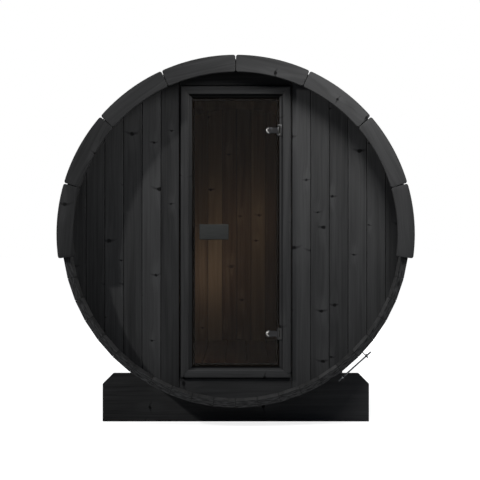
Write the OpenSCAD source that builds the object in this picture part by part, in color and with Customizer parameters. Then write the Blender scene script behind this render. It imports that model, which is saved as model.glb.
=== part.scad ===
// Barrel sauna: a coopered cabin of staves, lying on two cradles, with a glass door in its front wall.
// Millimetres. +Z is up, the front looks along -Y, and the origin is on the ground under the middle.

/* [Barrel] */
// Number of staves round the barrel
stave_count = 48; // [40:8:64]
// Distance across the barrel between the inner faces of opposite staves
barrel_inner_d = 1926; // [1600:2:2400]
// Thickness of a stave
stave_t = 38; // [34:1:50]
// Length of a stave
stave_l = 2300; // [1800:10:3000]
// Open joint between two staves
stave_gap = 0.4; // [0.3:0.1:0.8]
// Radius of the bead along a stave's edge
bead_r = 14; // [11:0.5:15]
// How far the bead reaches into the next stave
bead_depth = 6; // [4:0.5:8]
// Bevel along the long edges of a stave
stave_bevel = 3; // [1:0.5:4]

/* [End walls] */
// Thickness of an end wall
wall_t = 38; // [30:1:50]
// Length of stave that stands out past an end wall
overhang = 120; // [90:5:200]
// Depth of the groove in the staves that holds an end wall
croze_depth = 10; // [6:1:14]

/* [Door] */
// Width of the glass
glass_w = 502; // [440:2:506]
// Height of wall over the door frame, at its middle
header_h = 89; // [70:1:200]
// Height of wall under the door frame, at its middle
base_h = 113; // [80:1:250]
// Thickness of the glass
glass_t = 8; // [6:1:10]
// Open gap round the glass
door_gap = 6; // [5:0.5:7]
// Width of the step between the glass and the casing
lip_w = 20; // [14:1:21]
// Width of the casing
casing_w = 45; // [35:1:47]
// Width of the shadow groove between the casing and the wall
casing_groove = 7.7; // [4:0.1:9]
// Depth of that groove behind the wall's outer face
groove_depth = 12; // [6:1:16]
// How far the casing stands out of the wall
casing_proud = 16; // [12:1:24]
// Depth of the step's face behind the wall's outer face
lip_depth = 4; // [2:1:6]
// How far the stop covers the edge of the glass, with the gap
stop_w = 17; // [12:1:20]
// Open gap between the glass and the stop behind it
stop_gap = 6; // [5:0.5:8]

/* [Door fittings] */
// Distance of the middle of a hinge from the end of the glass
hinge_inset = 186; // [80:1:300]
// Height of a hinge's plate on the frame
hinge_plate_h = 68; // [60:1:90]
// Height of the round head of a hinge's arm
hinge_arm_h = 40; // [34:1:46]
// Height of the neck between the head and the knuckle
hinge_neck_h = 32; // [24:1:34]
// Length of a hinge's arm over the glass
hinge_arm_l = 74; // [60:1:90]
// Thickness of a hinge's arm
hinge_arm_t = 11; // [8:0.5:12]
// Radius of a hinge's knuckle
knuckle_r = 6; // [5:0.5:6]
// Radius of a hinge's pin
pin_r = 3; // [2:0.5:3.5]
// Width of the pull handle
handle_w = 170; // [120:2:200]
// Height of the pull handle
handle_h = 90; // [60:2:120]
// Thickness of the pull handle
handle_t = 18; // [14:1:24]
// Finger gap between the handle and the glass
handle_gap = 32; // [25:1:40]
// Distance of the handle from the edge of the glass
handle_inset = 39; // [25:1:60]
// Radius of the posts that carry the handle
post_r = 9; // [6:0.5:12]

/* [Cradles] */
// Width of a cradle
cradle_w = 1590; // [1400:10:1800]
// Height of a cradle
cradle_h = 285; // [240:5:330]
// Thickness of a cradle
cradle_t = 58; // [45:1:80]
// Height of wood under the barrel
cradle_web = 115; // [90:5:140]
// Bevel on a cradle's upper corners
cradle_bevel = 60; // [30:5:80]
// Distance of a cradle from the end of the staves
cradle_inset = 230; // [190:5:500]

/* [Hoops] */
// Width of a hoop
hoop_w = 30; // [20:1:40]
// Thickness of a hoop
hoop_t = 1.5; // [1:0.5:3]
// Direction of the middle of the tension rod, in degrees below level
rod_angle = 48; // [40:1:60]
// Length of the tension rod
rod_l = 256; // [230:2:300]
// Radius of the tension rod
rod_r = 5; // [4:0.5:6]
// Height of the tension rod over the hoop
rod_stand = 43; // [35:1:55]
// Distance from the middle of the rod to each lug's outer face
lug_reach = 92; // [80:1:100]
// Thickness of a lug
lug_t = 5; // [4:0.5:8]

/* [Roof] */
// Number of shingle courses on each side
course_count = 11; // [8:1:14]
// Thickness of a course at its lower edge
course_t = 10; // [8:0.5:14]
// Thickness of a course at its upper edge
course_head_t = 5.5; // [5:0.5:8]
// Width of an eaves strip, measured out from the staves
eaves_w = 31; // [30:1:40]
// Height of an eaves strip
eaves_h = 12; // [8:1:20]

/* [Fascia] */
// Pieces of fascia on each side of the top
fascia_count = 4; // [3:1:6]
// Angle from the top to the lower end of the fascia, in degrees
fascia_reach = 98; // [94:0.5:105]
// Width of the fascia, measured across the arc
fascia_w = 97; // [85:1:110]
// Thickness of the fascia
fascia_t = 28; // [20:1:40]
// How far the fascia reaches in past the inner faces of the staves
fascia_lap = 30; // [20:1:35]
// Radius of the fascia's corners
fascia_corner_r = 12; // [6:1:18]
// Open joint between two pieces of fascia
fascia_gap = 3.4; // [2:0.2:6]

/* [Floor] */
// Height of the floor's top face over the lowest stave
floor_rise = 163; // [130:1:170]
// Thickness of a floor board
floor_board_t = 28; // [22:1:32]
// Width of a floor board
floor_board_w = 132; // [90:2:140]
// Open gap between two floor boards
floor_board_gap = 8; // [4:1:12]
// Number of floor bearers
bearer_count = 4; // [3:1:6]
// Thickness of a floor bearer
bearer_t = 45; // [35:1:70]

/* [Hidden] */
$fn = 360;

// Clearance between pieces that seat on each other
seat = 0.3;
// Running clearance between a hinge's pin and its sleeve
pin_play = 0.08;
// Open joint at a mitre of the door frame
mitre_gap = 0.3;

// Stave geometry, seen along the barrel with the stave's middle on the X axis
half_pitch = 180 / stave_count;
face_in = barrel_inner_d / 2;
face_out = face_in + stave_t;
bead_inset = bead_r - bead_depth;
bead_at = (face_in + face_out) / 2;
// Largest radius that a stave reaches, at the foot of its outer bevel
stave_r = norm([face_out, stave_edge(face_out) - stave_bevel]);
staves_per_node = stave_count / 8;

// Barrel's place over the ground
axis_z = cradle_web + stave_r + seat;
end_y = stave_l / 2;
wall_face_y = end_y - overhang;
wall_back_y = wall_face_y - wall_t;
croze_r = face_in + croze_depth;
wall_r = croze_r - seat;

// Door frame: half widths and half heights measured from the middle of the glass
gap_in = door_gap;
lip_in = gap_in + lip_w;
casing_in = lip_in + casing_w;
frame_in = casing_in + casing_groove;
frame_reach = frame_in + stop_w - door_gap;
rough_in = frame_in + seat;
glass_h = barrel_inner_d - header_h - base_h - 2 * frame_in;
door_rise = (base_h - header_h) / 2;
door_z = axis_z + door_rise;
hinge_spread = glass_h / 2 - hinge_inset;
handle_x = handle_inset + (handle_w - glass_w) / 2;
glass_depth = lip_depth + 2;
stop_depth = glass_depth + glass_t + stop_gap;

// Hinge axis: in front of the glass, beside its edge
hinge_x = glass_w / 2 - 1;
hinge_depth = glass_depth - knuckle_r - 5;
knuckle_web = knuckle_r * 2 / 3;
knuckle_gap = 1;
plate_t = 4;
plate_edge = 1;
clamp_t = 6;

// Roof and fascia
roof_r = stave_r + seat;
hoop_r = stave_r + seat;
fascia_in_r = face_in - fascia_lap;
fascia_out_r = fascia_in_r + fascia_w;
course_gap = 0.3;

// Tension rod, measured from the barrel's axis
rod_at = hoop_r + hoop_t + rod_stand;
nut_h = 8;
nut_r = 9.8;
lug_foot = 45;
lug_crest = 14;

// Floor
floor_end_gap = 4;
floor_side_gap = 4;
floor_under = face_in - floor_rise + floor_board_t;
floor_half = sqrt(pow(face_in, 2) - pow(floor_under, 2)) - floor_side_gap;
floor_board_count = floor((2 * floor_half + floor_board_gap) / (floor_board_w + floor_board_gap));
bearer_inset = 180;

stave_colour = [0.20, 0.20, 0.21];
wall_colour = [0.22, 0.22, 0.23];
frame_colour = [0.19, 0.19, 0.20];
cradle_colour = [0.13, 0.13, 0.14];
fascia_colour = [0.25, 0.25, 0.26];
roof_colour = [0.10, 0.10, 0.11];
floor_colour = [0.62, 0.47, 0.32];
glass_colour = [0.22, 0.17, 0.12, 0.6];
steel_colour = [0.72, 0.73, 0.74];
handle_colour = [0.26, 0.27, 0.27];

// Half width of a stave at a distance from the barrel's axis
function stave_edge(x) = x * tan(half_pitch) - stave_gap / (2 * cos(half_pitch));
function polar(r, a) = [r * cos(a), r * sin(a)];

// Draws a flat shape of X and Z as a solid between two places along Y
module along_y(y0, y1) {
    translate([0, y1, 0]) rotate([90, 0, 0]) linear_extrude(y1 - y0) children();
}

// Moves what is drawn round the barrel's axis to its height
module on_axis() {
    translate([0, 0, axis_z]) children();
}

// Repeats what is drawn for the front at the rear
module at_rear() {
    mirror([0, 1, 0]) children();
}

// Cross-section of one stave, with a bead on one edge and a cove on the other
module stave_profile() {
    difference() {
        union() {
            polygon([
                [face_in, -stave_edge(face_in) + stave_bevel],
                [face_in + stave_bevel, -stave_edge(face_in + stave_bevel)],
                [face_out - stave_bevel, -stave_edge(face_out - stave_bevel)],
                [face_out, -stave_edge(face_out) + stave_bevel],
                [face_out, stave_edge(face_out) - stave_bevel],
                [face_out - stave_bevel, stave_edge(face_out - stave_bevel)],
                [face_in + stave_bevel, stave_edge(face_in + stave_bevel)],
                [face_in, stave_edge(face_in) - stave_bevel]
            ]);
            rotate(half_pitch) translate([bead_at, -bead_inset]) circle(bead_r);
        }
        rotate(-half_pitch) translate([bead_at, -bead_inset]) circle(bead_r + stave_gap);
    }
}

// One stave at an angle round the barrel, grooved near both ends for the end walls
module stave(angle) {
    on_axis() difference() {
        along_y(-end_y, end_y) rotate(angle) stave_profile();
        along_y(-wall_face_y - seat, -wall_back_y + seat) circle(croze_r);
        along_y(wall_back_y - seat, wall_face_y + seat) circle(croze_r);
    }
}

// The staves of one eighth of the barrel, counted from its lowest point
module staves(eighth) {
    first = eighth * staves_per_node;
    color(stave_colour)
        for (i = [first : first + staves_per_node - 1])
            stave(-90 + half_pitch + 2 * half_pitch * i);
}

// End walls: the disc that the groove holds, and the part of it beside, over or under the door
module wall_disc() {
    circle(wall_r);
}

module half_plane(side) {
    translate([side > 0 ? 0 : -2 * wall_r, -wall_r]) square(2 * wall_r);
}

module front_wall(part) {
    half_w = glass_w / 2 + rough_in;
    top = door_rise + glass_h / 2 + rough_in;
    bottom = door_rise - glass_h / 2 - rough_in;
    infill_w = 2 * (half_w - seat);
    color(wall_colour) on_axis() along_y(-wall_face_y, -wall_back_y) intersection() {
        wall_disc();
        if (part == "left") translate([-2 * wall_r - half_w, -wall_r]) square(2 * wall_r);
        if (part == "right") translate([half_w, -wall_r]) square(2 * wall_r);
        if (part == "header") translate([-infill_w / 2, top]) square([infill_w, wall_r]);
        if (part == "base") translate([-infill_w / 2, bottom - wall_r]) square([infill_w, wall_r]);
    }
}

module back_wall(side) {
    color(wall_colour) on_axis() along_y(wall_back_y, wall_face_y) intersection() {
        wall_disc();
        translate([side * seat / 2, 0]) half_plane(side);
    }
}

// Door frame: a rectangle that stands a given distance outside the glass
module door_rect(grow) {
    translate([0, door_rise]) square([glass_w + 2 * grow, glass_h + 2 * grow], center = true);
}

// A rectangular ring of the frame between two depths behind the wall's outer face
module frame_ring(outer, inner, depth0, depth1) {
    along_y(-wall_face_y + depth0, -wall_face_y + depth1) difference() {
        door_rect(outer);
        door_rect(inner);
    }
}

// The whole frame before it is cut into its four members
module frame_blank() {
    frame_ring(casing_in, lip_in, -casing_proud, groove_depth);
    frame_ring(frame_in, lip_in, groove_depth, wall_t);
    frame_ring(lip_in, gap_in, lip_depth, wall_t);
    frame_ring(gap_in, gap_in - stop_w, stop_depth, wall_t);
}

// Outline of one member between its two mitres: turn 0 is the sill, 90 the right jamb
module mitre_outline(turn) {
    upright = turn == 90 || turn == 270;
    run = (upright ? glass_h : glass_w) / 2 + frame_in - mitre_gap;
    rise = (upright ? glass_w : glass_h) / 2 + frame_in;
    translate([0, door_rise]) rotate(turn) polygon([
        [-run, -rise], [run, -rise],
        [run - frame_reach, -rise + frame_reach], [-run + frame_reach, -rise + frame_reach]
    ]);
}

module frame_member(turn) {
    color(frame_colour) on_axis() intersection() {
        frame_blank();
        along_y(-wall_face_y - casing_proud, -wall_back_y) mitre_outline(turn);
    }
}

// Door leaf
module at_door(x, depth, z) {
    translate([x, -wall_face_y + depth, door_z + z]) children();
}

module door_glass() {
    color(glass_colour) at_door(-glass_w / 2, glass_depth, -glass_h / 2) cube([glass_w, glass_t, glass_h]);
}

// A pull handle: a flat grip on two posts, drawn outwards from its face of the glass
module pull_handle() {
    grip_y = -handle_gap - handle_t;
    color(handle_colour) {
        translate([-handle_w / 2, grip_y, -handle_h / 2]) cube([handle_w, handle_t, handle_h]);
        for (side = [-1, 1])
            translate([side * handle_w / 3, 0, 0])
                rotate([90, 0, 0]) cylinder(r = post_r, h = handle_gap - seat);
    }
}

module door_handle_outer() {
    at_door(handle_x, glass_depth, 0) pull_handle();
}

module door_handle_inner() {
    at_door(handle_x, glass_depth + glass_t, 0) mirror([0, 1, 0]) pull_handle();
}

// A plate that clamps the glass: a round head on a neck that ends short of the knuckle
module clamp_plate(thickness) {
    head_r = hinge_arm_h / 2;
    head_x = head_r - hinge_arm_l;
    rotate([90, 0, 0]) linear_extrude(thickness) {
        translate([head_x, 0]) circle(head_r);
        translate([head_x, -hinge_neck_h / 2]) square([-head_x - knuckle_r - knuckle_web, hinge_neck_h]);
    }
}

// The moving half of a hinge: a sleeve on the pin, an arm and a clamp behind the glass
module hinge_arm(z) {
    sleeve_h = hinge_arm_h - 2 * knuckle_gap;
    web_l = knuckle_r + 3 * knuckle_web;
    color(steel_colour) {
        difference() {
            union() {
                at_door(hinge_x, hinge_depth, z - sleeve_h / 2) cylinder(r = knuckle_r, h = sleeve_h);
                at_door(hinge_x - web_l, hinge_depth - knuckle_web / 2, z - hinge_neck_h / 2)
                    cube([web_l, knuckle_web, hinge_neck_h]);
                at_door(hinge_x, glass_depth, z) clamp_plate(hinge_arm_t);
            }
            at_door(hinge_x, hinge_depth, z - sleeve_h) cylinder(r = pin_r + pin_play, h = 2 * sleeve_h);
        }
        at_door(hinge_x, glass_depth + glass_t + clamp_t, z) clamp_plate(clamp_t);
    }
}

// The fixed half of a hinge: a plate on the step of the frame, two ears and the pin between them
module hinge_plate(z) {
    ear_h = (hinge_plate_h - hinge_arm_h) / 2;
    plate_x = glass_w / 2 + gap_in + plate_edge;
    color(steel_colour) {
        at_door(plate_x, lip_depth - plate_t, z - hinge_plate_h / 2)
            cube([lip_w - 2 * plate_edge, plate_t, hinge_plate_h]);
        for (side = [0, 1]) at_door(0, 0, z - hinge_plate_h / 2 + side * (hinge_plate_h - ear_h)) {
            translate([hinge_x, hinge_depth, 0]) cylinder(r = knuckle_r, h = ear_h);
            translate([hinge_x, hinge_depth, 0]) cube([plate_x + plate_t - hinge_x, knuckle_web, ear_h]);
            translate([plate_x, hinge_depth, 0]) cube([plate_t, lip_depth - hinge_depth, ear_h]);
        }
        at_door(hinge_x, hinge_depth, z - hinge_plate_h / 2) cylinder(r = pin_r, h = hinge_plate_h);
    }
}

// A cradle: a plank on edge with bevelled shoulders, hollowed to the barrel
module front_cradle() {
    half_w = cradle_w / 2;
    y0 = -end_y + cradle_inset;
    color(cradle_colour) along_y(y0, y0 + cradle_t) difference() {
        polygon([
            [-half_w, 0], [half_w, 0],
            [half_w, cradle_h - cradle_bevel], [half_w - cradle_bevel, cradle_h],
            [-half_w + cradle_bevel, cradle_h], [-half_w, cradle_h - cradle_bevel]
        ]);
        translate([0, axis_z]) circle(stave_r + seat);
    }
}

// Hoops: a band over the groove of an end wall, open between the two lugs
module on_rod_frame() {
    on_axis() translate([0, -(wall_face_y + wall_back_y) / 2, 0]) rotate([0, rod_angle, 0]) children();
}

// Draws a flat shape round the barrel's axis, its +X through the middle of the rod, as wide as the hoop
module hoop_strip() {
    on_rod_frame() along_y(-hoop_w / 2, hoop_w / 2) children();
}

module front_hoop() {
    open_angle = asin((lug_reach - lug_t) / hoop_r);
    color(steel_colour) hoop_strip() difference() {
        circle(hoop_r + hoop_t);
        circle(hoop_r);
        polygon([[0, 0], polar(2 * hoop_r, -open_angle), polar(2 * hoop_r, open_angle)]);
    }
}

// Two angle lugs on the ends of the band, with a hole for the rod
module front_hoop_lugs() {
    crest = rod_at + lug_crest;
    foot_t = hoop_r + hoop_t + seat;
    color(steel_colour) for (side = [-1, 1]) difference() {
        hoop_strip() difference() {
            union() {
                translate([0, side > 0 ? lug_reach - lug_t : -lug_reach]) square([crest, lug_t]);
                intersection() {
                    circle(foot_t + lug_t);
                    translate([0, side > 0 ? lug_reach - lug_t : -lug_reach - lug_foot])
                        square([2 * hoop_r, lug_foot + lug_t]);
                }
            }
            circle(foot_t);
        }
        on_rod_frame() translate([rod_at, 0, -rod_l]) cylinder(r = rod_r + 2 * seat, h = 2 * rod_l);
    }
}

// The threaded rod with a nut outside each lug
module front_tension_rod() {
    color(steel_colour) on_rod_frame() translate([rod_at, 0, 0]) {
        translate([0, 0, -rod_l / 2]) cylinder(r = rod_r, h = rod_l);
        for (side = [0, 1]) mirror([0, 0, side])
            translate([0, 0, lug_reach + seat]) cylinder(r = nut_r, h = nut_h, $fn = 6);
    }
}

// Floor: boards along the barrel on bearers shaped to its bottom
module floor_boards() {
    pitch = floor_board_w + floor_board_gap;
    y1 = wall_back_y - floor_end_gap;
    color(floor_colour) on_axis()
        for (i = [0 : floor_board_count - 1])
            translate([(i - (floor_board_count - 1) / 2) * pitch - floor_board_w / 2, -y1, -floor_under])
                cube([floor_board_w, 2 * y1, floor_board_t]);
}

module floor_bearers() {
    first = -wall_back_y + bearer_inset;
    step = -2 * first / (bearer_count - 1);
    color(floor_colour) on_axis()
        for (i = [0 : bearer_count - 1])
            along_y(first + i * step - bearer_t / 2, first + i * step + bearer_t / 2) intersection() {
                circle(face_in - seat);
                translate([-face_in, -floor_under - face_in]) square([2 * face_in, face_in]);
            }
}

// Roof: courses of shingles from the eaves to the top, each thicker at its lower edge
module course_profile(index) {
    span = 90 / course_count;
    slit = asin(course_gap / 2 / roof_r);
    low = index * span + slit;
    high = (index + 1) * span - slit;
    difference() {
        polygon([[0, 0], polar(roof_r + course_t, low), polar(roof_r + course_head_t, high)]);
        circle(roof_r, $fn = 720);
    }
}

module hoop_reliefs() {
    for (side = [-1, 1])
        on_axis() translate([0, side * (wall_face_y + wall_back_y) / 2, 0])
            along_y(-hoop_w / 2 - seat, hoop_w / 2 + seat) circle(hoop_r + hoop_t + seat);
}

module roof_courses(side) {
    color(roof_colour) difference() {
        on_axis() mirror([side < 0 ? 1 : 0, 0, 0])
            for (i = [0 : course_count - 1]) along_y(-end_y, end_y) course_profile(i);
        hoop_reliefs();
    }
}

module eaves_strips() {
    color(roof_colour) difference() {
        on_axis() for (side = [0, 1]) mirror([side, 0, 0])
            along_y(-end_y, end_y) difference() {
                translate([0, -eaves_h - seat]) square([stave_r + eaves_w, eaves_h]);
                circle(roof_r, $fn = 720);
            }
        hoop_reliefs();
    }
}

// Fascia: what is cut from one corner of a piece to round it, outside or inside, at the end at an angle
module corner_cut(radius, end, turn, inward) {
    inset = 0.9 * fascia_corner_r;
    centre_r = radius - inward * inset;
    lean = turn * asin(inset / centre_r);
    far_r = radius + inward * fascia_corner_r;
    difference() {
        polygon([
            polar(centre_r, end - lean), polar(centre_r, end + turn),
            polar(far_r, end + turn), polar(far_r, end - lean)
        ]);
        translate(polar(centre_r, end - lean)) circle(fascia_corner_r);
    }
}

// One piece of fascia between two angles: a part of a ring with round corners
module fascia_piece(low, high) {
    middle = (low + high) / 2;
    far_r = 2 * fascia_out_r;
    difference() {
        intersection() {
            difference() {
                circle(fascia_out_r);
                circle(fascia_in_r);
            }
            polygon([[0, 0], polar(far_r, low), polar(far_r, middle), polar(far_r, high)]);
        }
        for (end = [[low, -1], [high, 1]]) {
            corner_cut(fascia_out_r, end[0], end[1], 1);
            corner_cut(fascia_in_r, end[0], end[1], -1);
        }
    }
}

module front_fascia(side) {
    span = fascia_reach / fascia_count;
    slit = asin(fascia_gap / 2 / fascia_in_r);
    color(fascia_colour) on_axis() mirror([side < 0 ? 1 : 0, 0, 0])
        for (i = [0 : fascia_count - 1])
            along_y(-end_y - fascia_t, -end_y)
                fascia_piece(90 - (i + 1) * span + slit, 90 - i * span - slit);
}

staves(0);  // staves_keel_right
staves(1);  // staves_bilge_right
staves(2);  // staves_shoulder_right
staves(3);  // staves_crown_right
staves(4);  // staves_crown_left
staves(5);  // staves_shoulder_left
staves(6);  // staves_bilge_left
staves(7);  // staves_keel_left
front_wall("left");  // front_wall_left
front_wall("right");  // front_wall_right
front_wall("header");  // front_wall_header
front_wall("base");  // front_wall_base
back_wall(-1);  // back_wall_left
back_wall(1);  // back_wall_right
frame_member(0);  // door_sill
frame_member(90);  // door_jamb_right
frame_member(180);  // door_head
frame_member(270);  // door_jamb_left
door_glass();
door_handle_outer();
door_handle_inner();
hinge_arm(hinge_spread);  // upper_hinge_arm
hinge_arm(-hinge_spread);  // lower_hinge_arm
hinge_plate(hinge_spread);  // upper_hinge_plate
hinge_plate(-hinge_spread);  // lower_hinge_plate
front_cradle();
at_rear() front_cradle();  // rear_cradle
front_hoop();
at_rear() front_hoop();  // rear_hoop
front_hoop_lugs();
at_rear() front_hoop_lugs();  // rear_hoop_lugs
front_tension_rod();
at_rear() front_tension_rod();  // rear_tension_rod
floor_boards();
floor_bearers();
roof_courses(-1);  // roof_courses_left
roof_courses(1);  // roof_courses_right
eaves_strips();
front_fascia(-1);  // front_fascia_left
front_fascia(1);  // front_fascia_right
at_rear() front_fascia(-1);  // rear_fascia_left
at_rear() front_fascia(1);  // rear_fascia_right
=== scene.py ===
"""Barrel sauna: boards, fittings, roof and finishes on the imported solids.

Metres throughout, in the solids' own frame: the front looks along -Y and the ground is z = 0.
"""

import math
import random

import bmesh
import bpy
from bpy.props import FloatProperty, FloatVectorProperty, IntProperty, PointerProperty
from mathutils import Matrix, Vector


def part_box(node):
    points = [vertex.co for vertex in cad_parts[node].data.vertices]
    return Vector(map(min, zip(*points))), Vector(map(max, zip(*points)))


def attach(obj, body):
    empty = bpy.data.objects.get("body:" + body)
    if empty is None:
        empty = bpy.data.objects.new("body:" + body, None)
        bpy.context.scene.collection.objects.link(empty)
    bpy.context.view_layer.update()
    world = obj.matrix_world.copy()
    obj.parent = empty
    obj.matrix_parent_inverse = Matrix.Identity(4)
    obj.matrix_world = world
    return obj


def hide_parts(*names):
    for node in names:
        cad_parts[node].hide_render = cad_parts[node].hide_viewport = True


bl_info = {
    "name": "Barrel sauna",
    "version": (1, 0, 0),
    "blender": (4, 5, 0),
    "location": "3D View > Sidebar > Sauna",
    "description": "Boards, fittings, roof and finishes of a barrel sauna",
    "category": "Object",
}

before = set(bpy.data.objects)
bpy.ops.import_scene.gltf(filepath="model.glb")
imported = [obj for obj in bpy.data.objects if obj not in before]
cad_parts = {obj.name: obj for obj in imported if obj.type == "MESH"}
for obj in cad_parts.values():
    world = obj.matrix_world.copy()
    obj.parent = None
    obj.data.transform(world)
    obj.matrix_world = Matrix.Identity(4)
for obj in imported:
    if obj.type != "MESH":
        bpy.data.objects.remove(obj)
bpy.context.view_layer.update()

# Places that the solids give
WALL_LOW, WALL_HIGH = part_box("front_wall_left")
BACK_LOW, BACK_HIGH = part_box("back_wall_left")
AXIS = Vector((0.0, 0.0, (BACK_LOW.z + BACK_HIGH.z) / 2))
OPENING_HALF = -WALL_HIGH.x
HEADER_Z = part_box("front_wall_header")[0].z
BASE_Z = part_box("front_wall_base")[1].z
GLASS_LOW, GLASS_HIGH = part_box("door_glass")
DOOR = (GLASS_LOW + GLASS_HIGH) / 2
FASCIA_LOW, FASCIA_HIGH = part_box("front_fascia_right")
FASCIA_OUT = FASCIA_HIGH.x
HOOP_T = 0.0015
ROOF_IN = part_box("front_hoop")[1].z - AXIS.z - HOOP_T
STAVE_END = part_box("staves_keel_left")[1].y
SIDES = (("left", -1), ("right", 1))
ENDS = (("front", -1), ("rear", 1))

# Which world axes run across, through and along the grain of a piece
UPRIGHT = Matrix(((1, 0, 0), (0, 1, 0), (0, 0, 1)))
LEVEL = Matrix(((0, 0, 1), (0, 1, 0), (1, 0, 0)))
LENGTHWISE = Matrix(((1, 0, 0), (0, 0, 1), (0, 1, 0)))

# Room in which a board's figure starts anywhere: across, through and along. Tones that boards come in
PLANK_ROOM = (9.0, 3.0, 9.0)
BOARD_TONES = (0.15, 0.75)

# Places closer than this are the same
SAME = 1e-6
# Triangles at less than the first angle are one face, and faces at less than the second shade as one
FLAT_ANGLE, SMOOTH_ANGLE = math.radians(0.4), math.radians(35)


def linear(code):
    """Linear RGB of an sRGB hex code."""
    parts = [int(code[i : i + 2], 16) / 255 for i in (1, 3, 5)]
    return tuple(c / 12.92 if c <= 0.04045 else ((c + 0.055) / 1.055) ** 2.4 for c in parts)


def size_of(name, description, default, **limits):
    return FloatProperty(name=name, description=description, default=default, unit="LENGTH", **limits)


def colour_of(name, description, code):
    return FloatVectorProperty(
        name=name, description=description, default=linear(code), subtype="COLOR", size=3, min=0, max=1
    )


class SaunaSizes(bpy.types.PropertyGroup):
    """Sizes of the boards and fittings."""

    board_pitch: size_of("Board pitch", "Width of a wall board with its joint", 0.110)
    board_joint: size_of("Board joint", "Open joint between two wall boards", 0.0024)
    board_ease: size_of("Board chamfer", "Chamfer along a wall board's edges", 0.0025)
    groove_in: size_of("Groove flat", "Distance from the axis to the ends of the wall boards", 0.970)
    stave_in: size_of("Inner radius", "Distance from the axis to a stave's inner face", 0.963)
    stave_count: IntProperty(name="Staves", description="Number of staves round the barrel", default=48)
    fascia_w: size_of("Fascia width", "Width of a fascia piece", 0.097)
    fascia_corner: size_of("Fascia corner", "Rounding of a fascia piece's corners", 0.012)
    fascia_gap: size_of("Fascia gap", "Open joint between two fascia pieces", 0.0034)
    fascia_count: IntProperty(name="Fascia pieces", description="Fascia pieces on one side", default=4)
    fascia_reach: FloatProperty(
        name="Fascia reach", description="Angle from the top to the fascia's end",
        default=math.radians(98), subtype="ANGLE",
    )
    edge_ease: size_of("Edge rounding", "Rounding of planed edges", 0.003)
    casing_ease: size_of("Casing rounding", "Rounding of the door casing's front edges", 0.004)
    shingle_slot: size_of("Shingle slot", "Slot between two tabs of a shingle", 0.006)
    shingle_count: IntProperty(name="Shingle tabs", description="Tabs in one course", default=9)
    course_count: IntProperty(name="Courses", description="Courses of shingles on one side", default=11)
    thread_pitch: size_of("Thread pitch", "Pitch of the tension rods' thread", 0.0015)


class SaunaColours(bpy.types.PropertyGroup):
    """Colours of the finishes."""

    stain_dark: colour_of("Stain, dense", "Black stain in the dense bands of the grain", "#1f1f1f")
    stain_pale: colour_of("Stain, thin", "Black stain where the grain took less", "#494949")
    stain_knot: colour_of("Stain, knots", "Black stain on knots", "#171717")
    bare_dark: colour_of("Bare wood, late bands", "Late wood of the unfinished boards", "#69462a")
    bare_pale: colour_of("Bare wood, early bands", "Early wood of the unfinished boards", "#dcc19a")
    bare_knot: colour_of("Bare wood, knots", "Knots of the unfinished boards", "#54371f")
    shingle: colour_of("Shingle", "Mineral granules of the roof", "#303134")
    shingle_pale: colour_of("Shingle, pale grains", "Palest granules of the roof", "#5a5b5e")
    zinc: colour_of("Zinc", "Zinc plate of the tension rods", "#85888b")
    # Painted shade: near black and dark grey that the door frame's rebate, stop and shaded lips wear for the
    # shade on them
    seal: colour_of("Seal", "Black rubber of the door's seal", "#090909")
    flap: colour_of("Seal's flap", "Dark grey flap of the door's seal", "#2b2825")
    band: colour_of("Band", "Black paint of the hoops and their lugs", "#1d1d1e")
    # Painted highlights: the bright steel on the hinges' heads and the satin steel at their knuckles stand
    # for highlights on the darkened steel
    steel: colour_of("Steel", "Bright steel of the hinges' heads", "#8f8e8c")
    satin: colour_of("Satin steel", "Satin steel of the hinges' knuckles", "#3b3b3a")
    dark_steel: colour_of("Dark steel", "Darkened steel of the hinges' arms", "#303031")
    glass: colour_of("Glass tint", "What is left of light through the bronze glass", "#b2a59a")
    handle: colour_of("Handle", "Dark grey stain of the wooden pulls", "#353635")


# Meshes


def wood_mesh():
    """An empty mesh whose points carry the grain's own coordinates and a board's tone."""
    bm = bmesh.new()
    bm.verts.layers.float_vector.new("grain")
    bm.verts.layers.float.new("tone")
    return bm


def stamp(bm, verts, basis, rng, tone=None):
    """Gives a board's points their place in a plank of its own: across, through and along the grain."""
    grain = bm.verts.layers.float_vector["grain"]
    shade = bm.verts.layers.float["tone"]
    middle = sum((v.co for v in verts), Vector()) / len(verts)
    plank = Vector([rng.uniform(0, room) for room in PLANK_ROOM])
    level = rng.uniform(*BOARD_TONES) if tone is None else tone
    for v in verts:
        v[grain] = basis @ (v.co - middle) + plank
        v[shade] = level


def edges_of(verts):
    """Edges of some points, each once, in an order that is the same on every run."""
    return list(dict.fromkeys(e for v in verts for e in v.link_edges))


def faces_of(verts):
    """Faces of some points, each once, in an order that is the same on every run."""
    return list(dict.fromkeys(f for v in verts for f in v.link_faces))


def gained(bm, before):
    """Points that a mesh has gained."""
    return [v for v in bm.verts if v not in before]


def run(edge):
    """The way from one end of an edge to the other."""
    return edge.verts[1].co - edge.verts[0].co


def ease(bm, edges, width, segments=1):
    """Rounds or chamfers edges."""
    bmesh.ops.bevel(
        bm, geom=list(edges), offset=width, offset_type="OFFSET", segments=segments, profile=0.5,
        affect="EDGES", material=-1, clamp_overlap=True,
    )


def block(bm, low, high, width=0.0, segments=1, along=None):
    """A block between two corners, with all its edges eased, or only those along one axis.

    Returns its points.
    """
    before = set(bm.verts)
    made = bmesh.ops.create_cube(bm, size=1.0)["verts"]
    bmesh.ops.scale(bm, vec=high - low, verts=made)
    bmesh.ops.translate(bm, vec=(low + high) / 2, verts=made)
    edges = edges_of(made)
    if along is not None:
        edges = [e for e in edges if abs(run(e)[along]) > SAME]
    if width:
        ease(bm, edges, width, segments)
    return gained(bm, before)


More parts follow.
